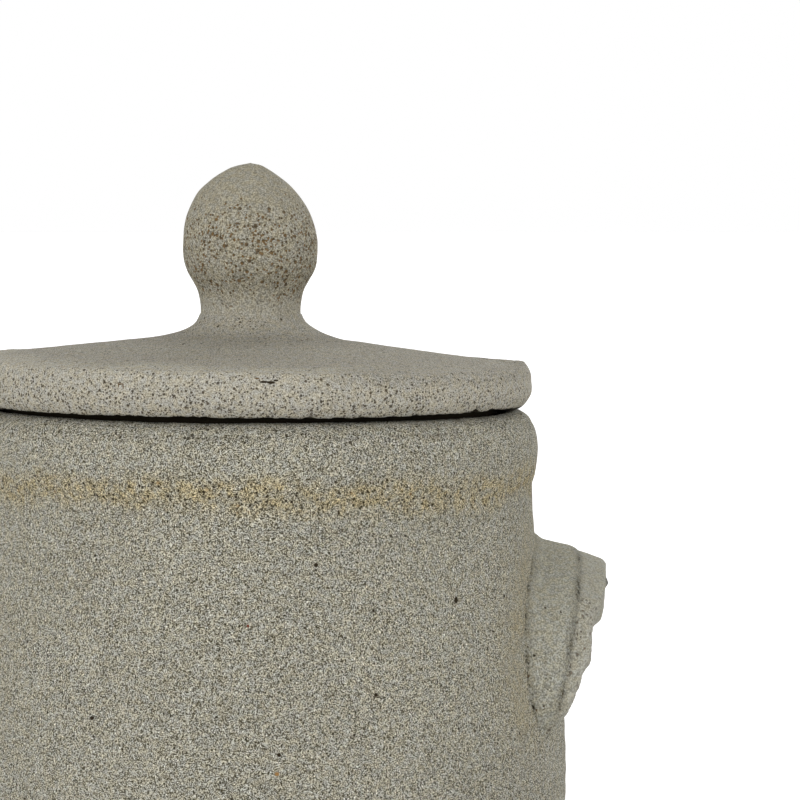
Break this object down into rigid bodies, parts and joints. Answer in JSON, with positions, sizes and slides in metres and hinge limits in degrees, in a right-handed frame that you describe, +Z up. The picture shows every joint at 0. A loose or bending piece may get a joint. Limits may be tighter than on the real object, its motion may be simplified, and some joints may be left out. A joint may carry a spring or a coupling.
{
  "type": "lidded storage jar",
  "caption": "Slightly bellied stoneware jar with a rolled rim, arched lug handles on its sides and a loose disc lid that lifts off by an onion-shaped knob.",
  "frame": {"origin": "centre of the base's underside", "axes": "+Z up along the jar's axis, +X towards the right lug as the picture shows the jar, the camera looks along +Y"},
  "size_m": [0.2834, 0.252, 0.3876],
  "materials": {
    "jar_clay": "unglazed gritty grey-beige stoneware, matte, with an ochre band under the rim",
    "rim_clay": "unglazed gritty grey-beige stoneware, matte",
    "lug_clay": "unglazed grey stoneware, smoothed by hand, chipped outer edge",
    "lid_clay": "unglazed grey-beige stoneware, smooth top, speckled edge",
    "knob_clay": "unglazed stoneware with rust-brown specks"
  },
  "bodies": {
    "jar": {"jar_wall": "jar_clay", "jar_floor": "jar_clay", "rim_roll": "rim_clay", "right_lug_inner_coil": "lug_clay", "right_lug_outer_coil": "lug_clay", "left_lug_inner_coil": "lug_clay", "left_lug_outer_coil": "lug_clay"},
    "lid": {"lid_plate": "lid_clay", "locating_ring": "lid_clay", "lid_knob": "knob_clay"}
  },
  "joints": [
    {"name": "lid_lift", "type": "slide", "parent": "jar", "child": "lid", "axis": [0, 0, 1], "range_m": [0, 0.15]}
  ]
}
